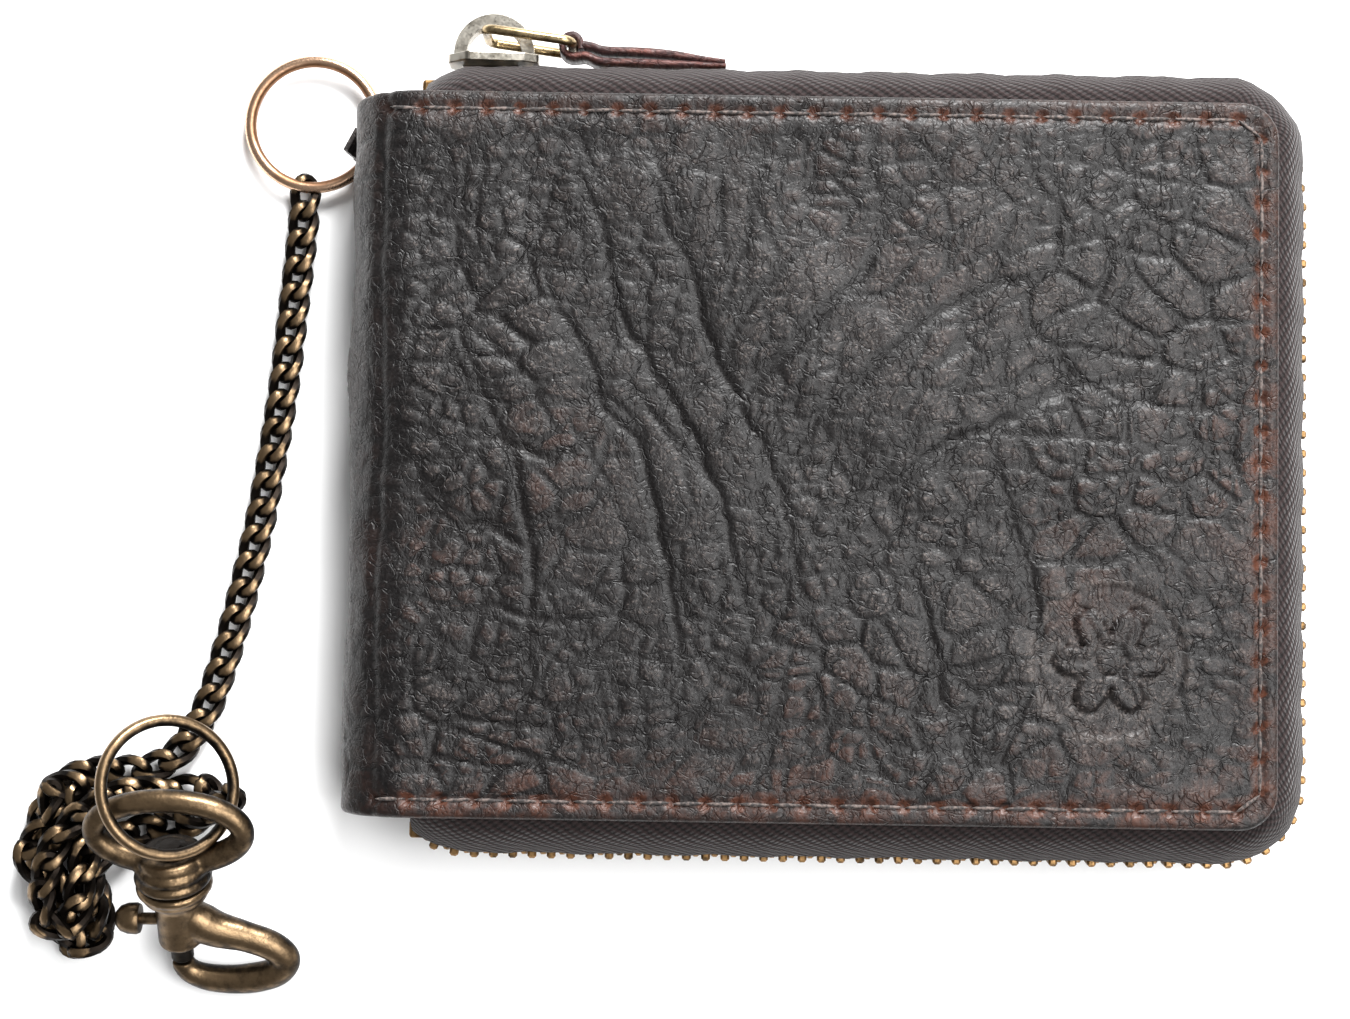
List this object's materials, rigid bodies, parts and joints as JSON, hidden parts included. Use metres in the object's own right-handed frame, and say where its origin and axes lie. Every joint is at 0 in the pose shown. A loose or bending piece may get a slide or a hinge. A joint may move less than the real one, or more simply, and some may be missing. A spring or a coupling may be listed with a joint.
{
  "type": "chain wallet",
  "caption": "Zip-around leather wallet with a metal zip, leather zip pull, split ring, curb chain and swivel snap, lying closed on its back.",
  "frame": {"origin": "middle of the rear cover's flat outer face", "axes": "+X from the spine towards the opening edge, +Y towards the edge with the zip slider, +Z out of the front cover"},
  "size_m": [0.1727, 0.1307, 0.022],
  "materials": {
    "cover_leather": "satin pull-up leather",
    "pull_leather": "satin",
    "board": "matt bonded fibre board",
    "lining": "matt woven",
    "zip_tape": "matt herringbone weave",
    "zip_brass": "antique",
    "nickel": "polished nickel plate",
    "antique_brass": "antique, worn bright on the high spots",
    "copper_wire": "bright light copper plate",
    "spring_steel": "bare"
  },
  "bodies": {
    "back_half": {"rear_cover": "cover_leather", "rear_board": "board", "rear_lining": "lining", "rear_zip_tape": "zip_tape", "rear_zip_teeth": "zip_brass", "rear_top_stop": "zip_brass", "bottom_stop": "zip_brass", "bill_pocket": "lining", "coin_pocket": "lining", "spine_wrap": "cover_leather", "spine_lining": "lining", "ring_tab": "cover_leather", "chain_run": "antique_brass", "chain_heap": "antique_brass", "lower_ring": "antique_brass", "swivel_eye": "antique_brass"},
    "front_half": {"front_cover": "cover_leather", "front_board": "board", "front_lining": "lining", "front_zip_tape": "zip_tape", "front_zip_teeth": "zip_brass", "front_top_stop": "zip_brass", "card_slot_left_1": "lining", "card_slot_right_1": "lining", "card_slot_left_2": "lining", "card_slot_right_2": "lining", "card_slot_left_3": "lining", "card_slot_right_3": "lining"},
    "slider": {"slider_body": "nickel", "slider_crown": "nickel"},
    "pull_ring": {"pull_ring": "zip_brass"},
    "leather_pull": {"leather_pull": "pull_leather"},
    "wallet_ring": {"wallet_ring": "copper_wire"},
    "snap": {"snap_body": "antique_brass", "swivel_stud": "antique_brass", "bolt_spring": "spring_steel"},
    "snap_bolt": {"snap_bolt": "antique_brass", "thumb_knob": "antique_brass"}
  },
  "joints": [
    {"name": "cover_hinge", "type": "hinge", "parent": "back_half", "child": "front_half", "pos_m": [-0.0592, 0, 0.011], "axis": [0, -1, 0], "range_deg": [0, 105], "deforming": ["spine_wrap", "spine_lining"]},
    {"name": "zip_slide", "type": "slide", "parent": "back_half", "child": "slider", "axis": [1, 0, 0], "range_m": [0, 0.088]},
    {"name": "pull_ring_hinge", "type": "hinge", "parent": "slider", "child": "pull_ring", "pos_m": [-0.0429, 0.0564, 0.011], "axis": [0, 0, 1], "range_deg": [0, 110]},
    {"name": "leather_pull_hinge", "type": "hinge", "parent": "pull_ring", "child": "leather_pull", "pos_m": [-0.0315, 0.0549, 0.011], "axis": [0, 0, 1], "range_deg": [0, 60]},
    {"name": "wallet_ring_hinge", "type": "hinge", "parent": "back_half", "child": "wallet_ring", "pos_m": [-0.05937, 0.042, 0.002], "axis": [0.4598, 0.888, 0], "range_deg": [0, 20]},
    {"name": "snap_swivel", "type": "hinge", "parent": "back_half", "child": "snap", "pos_m": [-0.0817, -0.05574, 0.0111], "axis": [0, -0.8387, -0.5446], "range_deg": [0, 120]},
    {"name": "bolt_slide", "type": "slide", "parent": "snap", "child": "snap_bolt", "axis": [0, 0.8387, 0.5446], "range_m": [0, 0.0032], "stiffness_N_per_m": 250, "springref_m": -0.004, "deforming": ["bolt_spring"]}
  ]
}
